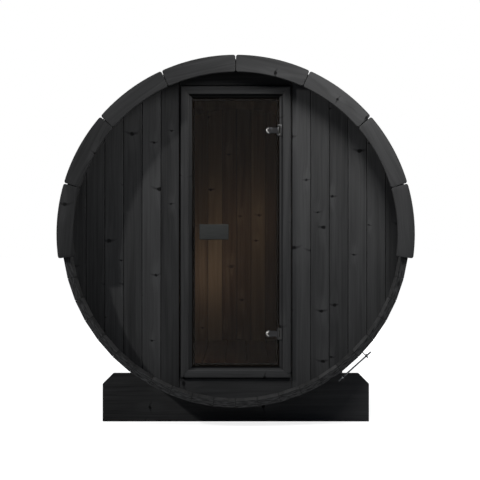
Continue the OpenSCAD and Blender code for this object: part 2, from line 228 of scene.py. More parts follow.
def rod(bm, start, end, radius, segments=24, width=0.0):
    """A round bar between two points, with its rims eased. Returns its points."""
    before = set(bm.verts)
    line = end - start
    made = bmesh.ops.create_cone(
        bm, cap_ends=True, segments=segments, radius1=radius, radius2=radius, depth=line.length
    )["verts"]
    if width:
        rims = [e for e in edges_of(made) if abs(run(e).z) < SAME]
        ease(bm, rims, width, 2)
    made = gained(bm, before)
    turn = line.to_track_quat("Z", "Y").to_matrix().to_4x4()
    bmesh.ops.transform(bm, matrix=Matrix.Translation((start + end) / 2) @ turn, verts=made)
    return made


def cut_off(bm, parts, place, normal):
    """Cuts away what lies beyond a plane and closes the cut. Returns what bisect_plane says of it."""
    cut = bmesh.ops.bisect_plane(bm, geom=parts, plane_co=place, plane_no=normal, clear_outer=True)
    seam = [g for g in cut["geom_cut"] if isinstance(g, bmesh.types.BMEdge)]
    bmesh.ops.edgeloop_fill(bm, edges=seam)
    return cut


def cut_to_groove(bm, verts, flat, count):
    """Cuts a board's ends to the many-sided groove in the staves. Returns the points that are left."""
    for i in range(count):
        angle = (i + 0.5) * math.tau / count
        normal = Vector((math.cos(angle), 0, math.sin(angle)))
        if max(normal.dot(v.co - AXIS) for v in verts) <= flat:
            continue
        parts = list(verts) + edges_of(verts) + faces_of(verts)
        cut = cut_off(bm, parts, AXIS + flat * normal, normal)
        left = [g for g in cut["geom"] if g.is_valid] + list(cut["geom_cut"])
        verts = list(dict.fromkeys(g for g in left if isinstance(g, bmesh.types.BMVert)))
    return verts


def merged_copy(node, bm):
    """Adds a solid to a mesh as whole faces, its triangles merged. Returns its points."""
    before = set(bm.verts)
    bm.from_mesh(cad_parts[node].data)
    made = gained(bm, before)
    bmesh.ops.remove_doubles(bm, verts=made, dist=SAME)
    made = gained(bm, before)
    bmesh.ops.dissolve_limit(bm, angle_limit=FLAT_ANGLE, verts=made, edges=edges_of(made))
    return gained(bm, before)


def sharp_edges(verts, angle):
    """Edges of some points whose faces meet at more than an angle in degrees."""
    return [e for e in edges_of(verts) if e.is_manifold and e.calc_face_angle(0) > math.radians(angle)]


def eased_copy(node, bm, angle, width, segments):
    """Adds a solid to a mesh, eased where its faces meet at more than an angle in degrees."""
    ease(bm, sharp_edges(merged_copy(node, bm), angle), width, segments)


def piece(name, bm, body, coats, node):
    """Makes an object of a mesh in its finishes, rides it on a body and lets it stand for its solid."""
    bmesh.ops.recalc_face_normals(bm, faces=bm.faces)
    mesh = bpy.data.meshes.new(name)
    bm.to_mesh(mesh)
    bm.free()
    for polygon in mesh.polygons:
        polygon.use_smooth = True
    mesh.set_sharp_from_angle(angle=SMOOTH_ANGLE)
    for coat in coats:
        mesh.materials.append(finishes()[coat])
    thing = bpy.data.objects.new(name, mesh)
    bpy.context.scene.collection.objects.link(thing)
    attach(thing, body)
    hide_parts(node)


def refinish(node, coat):
    """Gives a solid that stays as it is a finish."""
    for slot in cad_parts[node].material_slots:
        slot.material = finishes()[coat]


def inner_side(bm, y, outward):
    """Gives faces on the room's side of an end wall the second material."""
    for f in bm.faces:
        if (f.calc_center_median().y - y) * outward < 0:
            f.material_index = 1


# Materials


# Inputs of a Mix node that hold its two colours
MIX_A, MIX_B = 6, 7


def add(tree, kind, inputs=(), **settings):
    """Adds a node with its settings, and sets or links its inputs, given by name or number or in order.

    A node that is given as an input stands for the first of its outputs that is in use.
    """
    made = tree.nodes.new("ShaderNode" + kind)
    for key, value in settings.items():
        setattr(made, key, value)
    if not isinstance(inputs, dict):
        inputs = dict(enumerate(inputs))
    for key, value in inputs.items():
        if isinstance(value, bpy.types.Node):
            value = next(socket for socket in value.outputs if socket.enabled)
        if isinstance(value, bpy.types.NodeSocket):
            tree.links.new(value, made.inputs[key])
        else:
            made.inputs[key].default_value = value
    return made


def new_material(name):
    """An empty node material and its tree."""
    material = bpy.data.materials.new(name)
    material.use_nodes = True
    tree = material.node_tree
    tree.nodes.clear()
    return material, tree


def rgba(colour):
    return (*colour, 1.0)


def shaded(tree, base, pattern, least, most, start=0.3, stop=0.7):
    """A colour made darker and lighter by a pattern that runs between two values."""
    shade = add(tree, "MapRange", {"Value": pattern, "From Min": start, "From Max": stop,
                                   "To Min": least, "To Max": most})
    return add(tree, "Mix", {0: 1.0, MIX_A: rgba(base), MIX_B: shade},
               data_type="RGBA", blend_type="MULTIPLY")


# Marks in a board: width, depth and length in metres, and how much each counts
FIGURE = (
    (0.060, 0.2, 0.6, 0.50),  # slow clouds
    (0.018, 0.05, 0.9, 0.52),  # growth bands
    (0.006, 0.03, 0.7, 0.30),  # late wood
    (0.0022, 0.01, 0.11, 0.30),  # fibre
)
# Paleness of a board at tone 0, and what a tone of 1 adds
FIGURE_LEVEL = 0.1625
FIGURE_TONE = 0.75
# Width and length of board to each place for a knot, and the chance above which a place has one
KNOT_ROOM = (0.110, 0.320)
KNOT_CHANCE = 0.5
# Least and greatest half width of a knot, how far its edge is torn, and the size of the tears
KNOT_LEAST, KNOT_MOST = 0.009, 0.022
KNOT_TORN, KNOT_TEAR = 0.008, 0.022
# Shapes of a knot and of the trace of its branch, across and along the board, and the bow of the trace
KNOT_SHAPE, TRACE_SHAPE, TRACE_BOW = (1, 1.4, 0), (0.33, 1.7, 0), -6.0
# Paleness of the eye round a knot, a painted highlight where the figure round a knot catches light, and its
# reach in half widths of the knot
EYE_HIGHLIGHT, EYE_REACH = 0.13, 2.6
# How far the bands wander along a board, how far they lean out round a knot, and from how far off
BAND_WANDER, BAND_LEAN, BAND_REACH = 0.045, 0.015, 0.045
# Turns of that wander in a metre across, through and along the board, and the shape of what leans
WANDER_RATE, LEAN_SHAPE = (5.0, 5.0, 0.9), (1, 0.35, 0)
# Where in its half width a knot or a trace is full, how dark the trace is, and how proud knots stand
KNOT_FULL, TRACE_FULL, TRACE_DARK, KNOT_PROUD = 0.45, 0.1, 0.7, 0.9


def wood_figure(tree, grain, tone):
    """Figure of a planed softwood board: knots with the trace of their branch, bands round them, and fibre.

    grain holds metres across, through and along the board. Returns how pale the surface is (0 to 1),
    the knots, and a height for bump.
    """
    across, through, along = add(tree, "SeparateXYZ", [grain]).outputs
    face = add(tree, "CombineXYZ", [across, along])
    room_w, room_l = KNOT_ROOM
    scaled = add(tree, "VectorMath", [face, (1 / room_w, 1 / room_l, 0)], operation="MULTIPLY")
    cell = add(tree, "TexVoronoi", {"Vector": scaled, "Scale": 1.0, "Randomness": 0.85},
               voronoi_dimensions="2D")
    chance = add(tree, "SeparateColor", [cell.outputs["Color"]]).outputs["Red"]
    real = add(tree, "Math", [chance, KNOT_CHANCE], operation="GREATER_THAN")
    size = add(tree, "MapRange", {"Value": chance, "From Min": KNOT_CHANCE, "To Min": KNOT_LEAST,
                                  "To Max": KNOT_MOST})
    away = add(tree, "VectorMath", [scaled, cell.outputs["Position"]], operation="SUBTRACT")
    away = add(tree, "VectorMath", [away, (room_w, room_l, 0)], operation="MULTIPLY")
    torn = add(tree, "TexNoise", {"Vector": face, "Scale": 1 / KNOT_TEAR, "Detail": 2.0}).outputs["Color"]
    torn = add(tree, "VectorMath", [torn, (2 * KNOT_TORN, 2 * KNOT_TORN, 0), away],
               operation="MULTIPLY_ADD")
    away = add(tree, "VectorMath", [torn, (KNOT_TORN, KNOT_TORN, 0)], operation="SUBTRACT")
    side, rise, _ = add(tree, "SeparateXYZ", [away]).outputs
    core = add(tree, "VectorMath", [away, KNOT_SHAPE], operation="MULTIPLY")
    core = add(tree, "VectorMath", [core], operation="LENGTH")
    # The branch shows as a thin bowed line
    bow = add(tree, "Math", [side, side], operation="MULTIPLY")
    bow = add(tree, "Math", [bow, TRACE_BOW, rise], operation="MULTIPLY_ADD")
    trace = add(tree, "CombineXYZ", [side, bow])
    trace = add(tree, "VectorMath", [trace, TRACE_SHAPE], operation="MULTIPLY")
    trace = add(tree, "VectorMath", [trace], operation="LENGTH")
    marks = []
    for distance, most, strength in ((core, KNOT_FULL, 1.0), (trace, TRACE_FULL, TRACE_DARK)):
        full = add(tree, "Math", [size, most], operation="MULTIPLY")
        mark = add(tree, "MapRange", {"Value": distance, "From Min": size, "From Max": full,
                                      "To Max": strength}, interpolation_type="SMOOTHSTEP")
        marks.append(add(tree, "Math", [mark, real], operation="MULTIPLY"))
    knot = add(tree, "Math", marks, operation="MAXIMUM")
    # Bands wander along the board and lean out round each knot
    slow = add(tree, "VectorMath", [grain, WANDER_RATE], operation="MULTIPLY")
    wander = add(tree, "TexNoise", {"Vector": slow, "Scale": 1.0, "Detail": 2.0})
    shift = add(tree, "Math", [wander, BAND_WANDER, across], operation="MULTIPLY_ADD")
    near = add(tree, "VectorMath", [away, LEAN_SHAPE], operation="MULTIPLY")
    near = add(tree, "VectorMath", [near], operation="LENGTH")
    swell = add(tree, "MapRange", {"Value": near, "From Min": BAND_REACH, "From Max": 0.0,
                                   "To Max": BAND_LEAN}, interpolation_type="SMOOTHSTEP")
    field = add(tree, "Math", [swell, real, shift], operation="MULTIPLY_ADD")
    bent = add(tree, "CombineXYZ", [field, through, along])
    # A painted highlight makes the wood paler in an eye round each knot, where the figure catches light
    edge = add(tree, "Math", [size, EYE_REACH], operation="MULTIPLY")
    eye = add(tree, "MapRange", {"Value": near, "From Min": edge, "From Max": size, "To Max": EYE_HIGHLIGHT},
              interpolation_type="SMOOTHSTEP")
    eye = add(tree, "Math", [eye, real, FIGURE_LEVEL - sum(f[3] for f in FIGURE) / 2],
              operation="MULTIPLY_ADD")
    pale = add(tree, "Math", [tone, FIGURE_TONE, eye], operation="MULTIPLY_ADD")
    for width, depth, length, share in FIGURE:
        stretched = add(tree, "VectorMath", [bent, (1 / width, 1 / depth, 1 / length)],
                        operation="MULTIPLY")
        noise = add(tree, "TexNoise", {"Vector": stretched, "Scale": 1.0, "Detail": 2.0})
        pale = add(tree, "Math", [noise, share, pale], operation="MULTIPLY_ADD")
    level = add(tree, "Math", [pale, 0.0], operation="ADD", use_clamp=True)
    height = add(tree, "Math", [knot, KNOT_PROUD, pale], operation="MULTIPLY_ADD")
    return level, knot, height


def wood_colour(tree, figure, dark, pale, knot):
    """Colours of a figured board."""
    level, knots, _ = figure
    plain = add(tree, "Mix", {0: level, MIX_A: rgba(dark), MIX_B: rgba(pale)}, data_type="RGBA")
    return add(tree, "Mix", {0: knots, MIX_A: plain, MIX_B: rgba(knot)}, data_type="RGBA")


# Roughness, specular level and height of the grain of a planed or sawn, stained or bare board
PLANED_STAINED, SAWN_STAINED, PLANED_BARE = (0.7, 0.02, 0.0008), (0.8, 0.01, 0.0016), (0.55, 0.25, 0.0006)
# How much rougher or smoother the grain is than the board
ROUGH_SPREAD = 0.08


def wood_surface(tree, figure, colour, rough, specular, relief):
    """Shader of a planed board: rougher where the grain is open, with the bands standing a little proud."""
    level, _, height = figure
    roughness = add(tree, "MapRange", {"Value": level, "To Min": rough - ROUGH_SPREAD,
                                       "To Max": rough + ROUGH_SPREAD})
    bump = add(tree, "Bump", {"Height": height, "Strength": 0.35, "Distance": relief})
    shader = add(tree, "BsdfPrincipled", {"Base Color": colour, "Roughness": roughness, "Normal": bump,
                                          "Specular IOR Level": specular})
    add(tree, "OutputMaterial", [shader])


def board_wood(name, dark, pale, knot, rough, specular, relief):
    """A wood for pieces whose points carry their own grain."""
    material, tree = new_material(name)
    grain = add(tree, "Attribute", attribute_name="grain").outputs["Vector"]
    tone = add(tree, "Attribute", attribute_name="tone").outputs["Fac"]
    figure = wood_figure(tree, grain, tone)
    wood_surface(tree, figure, wood_colour(tree, figure, dark, pale, knot), rough, specular, relief)
    return material


# Half of the thickness of a stave or wall board, half of the dark line at a joint, and the skin at a sawn end
STAVE_HALF, JOINT_HALF, END_SKIN = 0.019, 0.0025, 0.001
# Length and thickness of the arcs in end grain
END_ARC, END_RING = 0.040, 0.005


def stave_wood(sizes, colours):
    """Pine staves, black stain outside and on the ends, bare inside the room.

    Each stave is a board of its own: its figure follows its place round the barrel. The eye sees
    matt black boards with darker knots outside, and honey-coloured wood inside.
    """
    material, tree = new_material("stained_pine_staves")
    place = add(tree, "TexCoord").outputs["Object"]
    x, y, z = add(tree, "SeparateXYZ", [place]).outputs
    height = add(tree, "Math", [z, AXIS.z], operation="SUBTRACT")
    turn = add(tree, "Math", [x, height], operation="ARCTAN2")
    flat = add(tree, "CombineXYZ", [x, height])
    radius = add(tree, "VectorMath", [flat], operation="LENGTH")
    count = add(tree, "Math", [turn, sizes.stave_count / math.tau], operation="MULTIPLY")
    index = add(tree, "Math", [count], operation="FLOOR")
    across = add(tree, "Math", [count, index], operation="SUBTRACT")
    width = math.tau * sizes.stave_in / sizes.stave_count
    own = add(tree, "TexWhiteNoise", {"W": index}, noise_dimensions="1D")
    shade = add(tree, "MapRange", {"Value": own.outputs["Value"], "To Min": BOARD_TONES[0],
                                   "To Max": BOARD_TONES[1]})
    plank = add(tree, "VectorMath", [own.outputs["Color"], PLANK_ROOM], operation="MULTIPLY")
    metres = add(tree, "Math", [across, width], operation="MULTIPLY")
    here = add(tree, "CombineXYZ", [metres, radius, y])
    grain = add(tree, "VectorMath", [here, plank], operation="ADD")
    figure = wood_figure(tree, grain, shade)
    black = wood_colour(tree, figure, colours.stain_dark, colours.stain_pale, colours.stain_knot)
    bare = wood_colour(tree, figure, colours.bare_dark, colours.bare_pale, colours.bare_knot)
    near = add(tree, "Math", [radius, sizes.stave_in + STAVE_HALF], operation="LESS_THAN")
    far = add(tree, "Math", [y], operation="ABSOLUTE")
    room = add(tree, "Math", [far, -WALL_LOW.y - STAVE_HALF], operation="LESS_THAN")
    inside = add(tree, "Math", [near, room], operation="MULTIPLY")
    # End grain shows as broken arcs
    arcs = add(tree, "VectorMath", [grain, (1 / END_ARC, 1 / END_RING, 0)], operation="MULTIPLY")
    arcs = add(tree, "TexNoise", {"Vector": arcs, "Scale": 1.0, "Detail": 3.0})
    arcs = add(tree, "MapRange", {"Value": arcs, "From Min": 0.32, "From Max": 0.72})
    ring = add(tree, "Mix", {0: arcs, MIX_A: rgba(colours.stain_knot), MIX_B: rgba(colours.stain_pale)},
               data_type="RGBA")
    end = add(tree, "Math", [far, STAVE_END - END_SKIN], operation="GREATER_THAN")
    black = add(tree, "Mix", {0: end, MIX_A: black, MIX_B: ring}, data_type="RGBA")
    # Each joint is a dark line
    middle = add(tree, "Math", [across, 0.5], operation="SUBTRACT")
    middle = add(tree, "Math", [middle], operation="ABSOLUTE")
    joint = add(tree, "MapRange", {"Value": middle, "From Min": 0.5 - JOINT_HALF / width, "From Max": 0.5,
                                   "To Max": 0.9})
    black = add(tree, "Mix", {0: joint, MIX_A: black, MIX_B: rgba(colours.stain_knot)}, data_type="RGBA")
    colour = add(tree, "Mix", {0: inside, MIX_A: black, MIX_B: bare}, data_type="RGBA")
    wood_surface(tree, figure, colour, *PLANED_STAINED)
    return material


def shingle_felt(colours):
    """Bitumen shingle faced with slate granules: matt, speckled from near black to mid grey."""
    material, tree = new_material("slate_granule_shingle")
    place = add(tree, "TexCoord").outputs["Object"]
    # Granules of 1 to 2 mm, drawn at 4 mm so that they show
    grit = add(tree, "TexVoronoi", {"Vector": place, "Scale": 1 / 0.004})
    speck = add(tree, "SeparateColor", [grit.outputs["Color"]])
    # Granules lie thicker and thinner in patches of 150 mm
    patch = add(tree, "TexNoise", {"Vector": place, "Scale": 1 / 0.15, "Detail": 3.0})
    blend = add(tree, "Math", [speck.outputs["Red"], patch], operation="MULTIPLY")
    level = add(tree, "MapRange", {"Value": blend, "From Min": 0.05, "From Max": 0.6})
    colour = add(tree, "Mix", {0: level, MIX_A: rgba(colours.shingle), MIX_B: rgba(colours.shingle_pale)},
                 data_type="RGBA")
    # Tabs come from different batches, and the sheet under their slots is in the shade
    batch = add(tree, "MapRange", {"Value": add(tree, "Attribute", attribute_name="tone").outputs["Fac"],
                                   "To Min": 0.35, "To Max": 1.25})
    tinted = add(tree, "Mix", {0: 1.0, MIX_A: colour, MIX_B: batch}, data_type="RGBA", blend_type="MULTIPLY")
    bump = add(tree, "Bump", {"Height": grit.outputs["Distance"], "Strength": 0.6, "Distance": 0.001})
    shader = add(tree, "BsdfPrincipled", {"Base Color": tinted, "Roughness": 0.92,
                                          "Specular IOR Level": 0.08, "Normal": bump})
    add(tree, "OutputMaterial", [shader])
    return material


def zinc_plated_steel(colours):
    """Zinc-plated steel: soft grey with spangle, crystals of about 9 mm that differ in tone and gloss."""
    material, tree = new_material("zinc_plated_steel")
    place = add(tree, "TexCoord").outputs["Object"]
    crystal = add(tree, "TexVoronoi", {"Vector": place, "Scale": 1 / 0.009})
    tone = add(tree, "SeparateColor", [crystal.outputs["Color"]])
    colour = shaded(tree, colours.zinc, tone.outputs["Red"], 0.62, 1.0, 0.0, 1.0)
    rough = add(tree, "MapRange", {"Value": tone.outputs["Green"], "To Min": 0.34, "To Max": 0.52})
    fine = add(tree, "TexNoise", {"Vector": place, "Scale": 1 / 0.003, "Detail": 2.0})
    bump = add(tree, "Bump", {"Height": fine, "Strength": 0.15, "Distance": 0.0003})
    shader = add(tree, "BsdfPrincipled", {"Base Color": colour, "Metallic": 1.0, "Roughness": rough,
                                          "Normal": bump})
    add(tree, "OutputMaterial", [shader])
    return material


def brushed_steel(name, base):
    """Steel brushed upright: satin, with fine lines that stretch its highlights."""
    material, tree = new_material(name)
    place = add(tree, "TexCoord").outputs["Object"]
    # Brush lines 0.6 mm apart and 40 mm long
    lines = add(tree, "VectorMath", [place, (1 / 0.0006, 1 / 0.0006, 1 / 0.040)], operation="MULTIPLY")
    brush = add(tree, "TexNoise", {"Vector": lines, "Scale": 1.0, "Detail": 1.0})
    rough = add(tree, "MapRange", {"Value": brush, "From Min": 0.3, "From Max": 0.7,
                                   "To Min": 0.24, "To Max": 0.42})
    colour = shaded(tree, base, brush, 0.82, 1.0)
    bump = add(tree, "Bump", {"Height": brush, "Strength": 0.1, "Distance": 0.0002})
    shader = add(tree, "BsdfPrincipled", {"Base Color": colour, "Metallic": 1.0, "Roughness": rough,
                                          "Normal": bump})
    add(tree, "OutputMaterial", [shader])
    return material


def bronze_glass(colours):
    """Toughened bronze glass: a smooth dark brown pane that shows the lit wood behind it."""
    material, tree = new_material("bronze_float_glass")
    place = add(tree, "TexCoord").outputs["Object"]
    # Rolling the hot glass leaves slow waves, about 180 mm apart, that bend reflections a little
    wave = add(tree, "TexNoise", {"Vector": place, "Scale": 1 / 0.18, "Detail": 1.0})
    bump = add(tree, "Bump", {"Height": wave, "Strength": 0.015, "Distance": 0.002})
    pane = add(tree, "BsdfPrincipled", {"Base Color": rgba(colours.glass), "Roughness": 0.0,
                                        "IOR": 1.178, "Transmission Weight": 1.0, "Normal": bump})
    clear = add(tree, "BsdfTransparent", [rgba(colours.glass)])
    path = add(tree, "LightPath")
    light = add(tree, "Math", [path.outputs["Is Shadow Ray"], path.outputs["Is Diffuse Ray"]],
                operation="MAXIMUM")
    mixed = add(tree, "MixShader", [light, pane, clear])
    add(tree, "OutputMaterial", [mixed])
    return material


def rubber(name, base):
    """Painted shade: a soft, dull rubber-like coat in its base colour, with a faint bloom in patches of 40
    mm.
    """
    material, tree = new_material(name)
    place = add(tree, "TexCoord").outputs["Object"]
    bloom = add(tree, "TexNoise", {"Vector": place, "Scale": 1 / 0.04, "Detail": 3.0})
    colour = shaded(tree, base, bloom, 0.8, 1.3)
    shader = add(tree, "BsdfPrincipled", {"Base Color": colour, "Roughness": 0.75,
                                          "Specular IOR Level": 0.03})
    add(tree, "OutputMaterial", [shader])
    return material


def powder_coat(name, base):
    """Structured powder coat: silky, with a fine even pimple that spreads highlights."""
    material, tree = new_material(name)
    place = add(tree, "TexCoord").outputs["Object"]
    # Pimples about 1.2 mm apart
    grit = add(tree, "TexNoise", {"Vector": place, "Scale": 1 / 0.0012, "Detail": 2.0})
    cloud = add(tree, "TexNoise", {"Vector": place, "Scale": 1 / 0.05, "Detail": 2.0})
    colour = shaded(tree, base, cloud, 0.88, 1.1)
    bump = add(tree, "Bump", {"Height": grit, "Strength": 0.3, "Distance": 0.0004})
    shader = add(tree, "BsdfPrincipled", {"Base Color": colour, "Roughness": 0.48,
                                          "Specular IOR Level": 0.06, "Normal": bump})
    add(tree, "OutputMaterial", [shader])
    return material


def stained_birch(colours):
    """Birch under a dark grey stain, sanded smooth: silky, with fine straight grain along the pull."""
    material, tree = new_material("grey_stained_birch")
    place = add(tree, "TexCoord").outputs["Object"]
    # Lines of grain 3 mm apart and 90 mm long
    lines = add(tree, "VectorMath", [place, (1 / 0.090, 1 / 0.003, 1 / 0.003)], operation="MULTIPLY")
    grain = add(tree, "TexNoise", {"Vector": lines, "Scale": 1.0, "Detail": 3.0})
    colour = shaded(tree, colours.handle, grain, 0.78, 1.2)
    bump = add(tree, "Bump", {"Height": grain, "Strength": 0.15, "Distance": 0.0003})
    shader = add(tree, "BsdfPrincipled", {"Base Color": colour, "Roughness": 0.48,
                                          "Specular IOR Level": 0.06, "Normal": bump})
    add(tree, "OutputMaterial", [shader])
    return material


FINISHES = {}


def finishes():
    """The sauna's materials by name, made once."""
    if FINISHES:
        return FINISHES
    sizes, colours = bpy.context.scene.sauna_sizes, bpy.context.scene.sauna_colours
    stain = (colours.stain_dark, colours.stain_pale, colours.stain_knot)
    bare = (colours.bare_dark, colours.bare_pale, colours.bare_knot)
    # Planed pine under a thin black stain: matt, the growth bands and knots still read through it
    FINISHES["black"] = board_wood("black_stained_pine", *stain, *PLANED_STAINED)
    # Sawn pine under the same stain: coarser and duller
    FINISHES["cradle"] = board_wood("sawn_black_pine", *stain, *SAWN_STAINED)
    # Planed spruce with no finish: honey-coloured, satin
    FINISHES["bare"] = board_wood("bare_spruce", *bare, *PLANED_BARE)
    FINISHES["stave"] = stave_wood(sizes, colours)
    FINISHES["shingle"] = shingle_felt(colours)
    FINISHES["zinc"] = zinc_plated_steel(colours)
    # Bright and satin steel paint highlights on the hinges' heads and knuckles
    FINISHES["steel"] = brushed_steel("bright_steel_painted_highlight", colours.steel)
    FINISHES["satin"] = brushed_steel("satin_steel_painted_highlight", colours.satin)
    FINISHES["dark_steel"] = brushed_steel("darkened_steel", colours.dark_steel)
    FINISHES["glass"] = bronze_glass(colours)
    FINISHES["handle"] = stained_birch(colours)
    # Painted shade on the door frame: near black on the rebate and shaded lips, dark grey on the stop behind
    # the glass
    FINISHES["seal"] = rubber("painted_shade_black", colours.seal)
    FINISHES["flap"] = rubber("painted_shade_dark_grey", colours.flap)
    FINISHES["band"] = powder_coat("black_powder_coat", colours.band)
    return FINISHES


# Pieces


class SAUNA_OT_staves(bpy.types.Operator):
    """Finish the coopered staves"""

    bl_idname = "sauna.staves"
    bl_label = "Staves"

    def execute(self, context):
        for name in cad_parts:
            if name.startswith("staves_"):
                refinish(name, "stave")
        return {"FINISHED"}


# Half of a wall board's length before it is cut to the groove
BOARD_REACH = 1.0
# Loose tongues in the joints
TONGUE_HALF, TONGUE_TONE = 0.006, 0.1
# How far the stain goes past the middle of a wall's thickness
STAIN_PAST = 0.010


def upright_boards(bm, sizes, rng, low_y, high_y, first, last, tones):
    """Upright wall boards between two whole numbers of pitches, on loose tongues, cut to the groove."""
    half = sizes.board_joint / 2
    for i in range(first, last):
        low = Vector((i * sizes.board_pitch + half, low_y, AXIS.z - BOARD_REACH))
        high = Vector(((i + 1) * sizes.board_pitch - half, high_y, AXIS.z + BOARD_REACH))
        made = block(bm, low, high, sizes.board_ease, 1, along=2)
        made = cut_to_groove(bm, made, sizes.groove_in, sizes.stave_count)
        stamp(bm, made, UPRIGHT, rng, tones.get(i))
    third = (high_y - low_y) / 3
    for i in range(first if first == 0 else first + 1, last):
        x = i * sizes.board_pitch
        low = Vector((x - TONGUE_HALF, low_y + third, AXIS.z - BOARD_REACH))
        high = Vector((x + TONGUE_HALF, high_y - third, AXIS.z + BOARD_REACH))
        made = cut_to_groove(bm, block(bm, low, high), sizes.groove_in, sizes.stave_count)
        stamp(bm, made, UPRIGHT, rng, TONGUE_TONE)


# Tones of the wall boards that show from the front, by pitches from the middle of the wall
# They differ from board to board, and the outermost boards, in the shade near the rim, are darker still:
# painted shade
FRONT_TONES_AND_SHADE = {-9: 0.22, -8: 0.27, -7: 0.40, -6: 0.32, -5: 0.60, -4: 0.24,
               3: 0.70, 4: 0.46, 5: 0.40, 6: 0.60, 7: 0.58, 8: 0.40}
# Tones of the back wall's boards, which also hold painted light and shade: board -2, where a patch of light
# falls, is palest, and board 2, in shade, darkest
BACK_TONES_AND_LIGHT = {-3: 0.3, -2: 0.8, -1: 0.05, 0: 0.08, 1: 0.62, 2: 0.0}
# The header over the door is darker for the fascia's shadow on it: painted shade
HEADER_SHADE_TONE, BASE_TONE = 0.22, 0.42


class SAUNA_OT_front_boards(bpy.types.Operator):
    """Build the front wall's boards beside, over and under the door"""

    bl_idname = "sauna.front_boards"
    bl_label = "Front boards"

    def execute(self, context):
        sizes = context.scene.sauna_sizes
        rng = random.Random(11)
        outer = math.ceil(sizes.groove_in / sizes.board_pitch)
        inner = round(OPENING_HALF / sizes.board_pitch)
        middle = (WALL_LOW.y + WALL_HIGH.y) / 2 + STAIN_PAST
        for side, first, last in (("left", -outer, -inner), ("right", inner, outer)):
            bm = wood_mesh()
            upright_boards(bm, sizes, rng, WALL_LOW.y, WALL_HIGH.y, first, last, FRONT_TONES_AND_SHADE)
            inner_side(bm, middle, -1)
            piece(f"front_boards_{side}", bm, "cabin", ["black", "bare"], f"front_wall_{side}")
        parts = (
            ("header", HEADER_Z, AXIS.z + BOARD_REACH, HEADER_SHADE_TONE),
            ("base", AXIS.z - BOARD_REACH, BASE_Z, BASE_TONE),
        )
        for part, low, high, tone in parts:
            bm = wood_mesh()
            reach = OPENING_HALF - sizes.board_joint / 2
            made = block(bm, Vector((-reach, WALL_LOW.y, low)), Vector((reach, WALL_HIGH.y, high)),
                         sizes.board_ease, 1, along=0)
            made = cut_to_groove(bm, made, sizes.groove_in, sizes.stave_count)
            stamp(bm, made, LEVEL, rng, tone)
            inner_side(bm, middle, -1)
            piece(f"front_board_{part}", bm, "cabin", ["black", "bare"], f"front_wall_{part}")
        return {"FINISHED"}


class SAUNA_OT_back_boards(bpy.types.Operator):
    """Build the back wall's boards"""

    bl_idname = "sauna.back_boards"
    bl_label = "Back boards"

    def execute(self, context):
        sizes = context.scene.sauna_sizes
        rng = random.Random(23)
        outer = math.ceil(sizes.groove_in / sizes.board_pitch)
        for side, (first, last) in (("left", (-outer, 0)), ("right", (0, outer))):
            bm = wood_mesh()
            upright_boards(bm, sizes, rng, BACK_LOW.y, BACK_HIGH.y, first, last, BACK_TONES_AND_LIGHT)
            inner_side(bm, (BACK_LOW.y + BACK_HIGH.y) / 2 - STAIN_PAST, 1)
            piece(f"back_boards_{side}", bm, "cabin", ["black", "bare"], f"back_wall_{side}")
        return {"FINISHED"}


# Angle between two points along a curved board
ARC_STEP = math.radians(2)


def arc_board(bm, inner, outer, low_y, high_y, start, end, corner, width):
    """A board sawn to a curve round the barrel's axis, between two angles from the top.

    Its four corners are rounded, and all its edges eased.
    """
    before = set(bm.verts)
    turn = Vector((math.sin(start), 0, math.cos(start)))
    section = [AXIS + r * turn + Vector((0, y, 0)) for r, y in
               ((inner, low_y), (outer, low_y), (outer, high_y), (inner, high_y))]
    loop = [bm.verts.new(p) for p in section]
    edges = [bm.edges.new((loop[i], loop[i - 1])) for i in range(4)]
    steps = max(2, round(abs(end - start) / ARC_STEP))
    bmesh.ops.spin(bm, geom=loop + edges, cent=AXIS, axis=(0, 1, 0), angle=end - start, steps=steps,
                   use_duplicate=False)
    made = gained(bm, before)
    rims = [e for e in edges_of(made) if e.is_boundary]
    bmesh.ops.holes_fill(bm, edges=rims, sides=4)
    made = gained(bm, before)
    through = 0.9 * (high_y - low_y)
    corners = [e for e in sharp_edges(made, 60) if abs(run(e).y) > through]
    ease(bm, corners, corner, 4)
    made = gained(bm, before)
    ease(bm, sharp_edges(made, 60), width, 2)
    return gained(bm, before)


# Tones of the fascia boards from the crown down. They differ from board to board, and also carry light the
# lamps leave out: the right side's are paler and the left's lowest darker, partly painted light and shade
FASCIA_TONES_AND_LIGHT = {"left": (0.36, 0.35, 0.18, 0.10), "right": (0.48, 0.62, 0.53, 0.57)}


class SAUNA_OT_fascia(bpy.types.Operator):
    """Build the curved fascia boards at both ends of the barrel"""

    bl_idname = "sauna.fascia"
    bl_label = "Fascia"

    def execute(self, context):
        sizes = context.scene.sauna_sizes
        rng = random.Random(31)
        inner = FASCIA_OUT - sizes.fascia_w
        slit = math.asin(sizes.fascia_gap / 2 / inner)
        span = sizes.fascia_reach / sizes.fascia_count
        for end, forward in ENDS:
            low_y, high_y = sorted((forward * -FASCIA_LOW.y, forward * -FASCIA_HIGH.y))
            for side, way in SIDES:
                bm = wood_mesh()
                for i in range(sizes.fascia_count):
                    start, stop = sorted((way * (i * span + slit), way * ((i + 1) * span - slit)))
                    made = arc_board(bm, inner, FASCIA_OUT, low_y, high_y, start, stop,
                                     sizes.fascia_corner, sizes.edge_ease)
                    middle = (start + stop) / 2
                    s, c = math.sin(middle), math.cos(middle)
                    stamp(bm, made, Matrix(((s, 0, c), (0, 1, 0), (c, 0, -s))), rng,
                          FASCIA_TONES_AND_LIGHT[side][i % len(FASCIA_TONES_AND_LIGHT[side])])
                piece(f"fascia_boards_{end}_{side}", bm, "cabin", ["black"],
                      f"{end}_fascia_{side}")
        return {"FINISHED"}


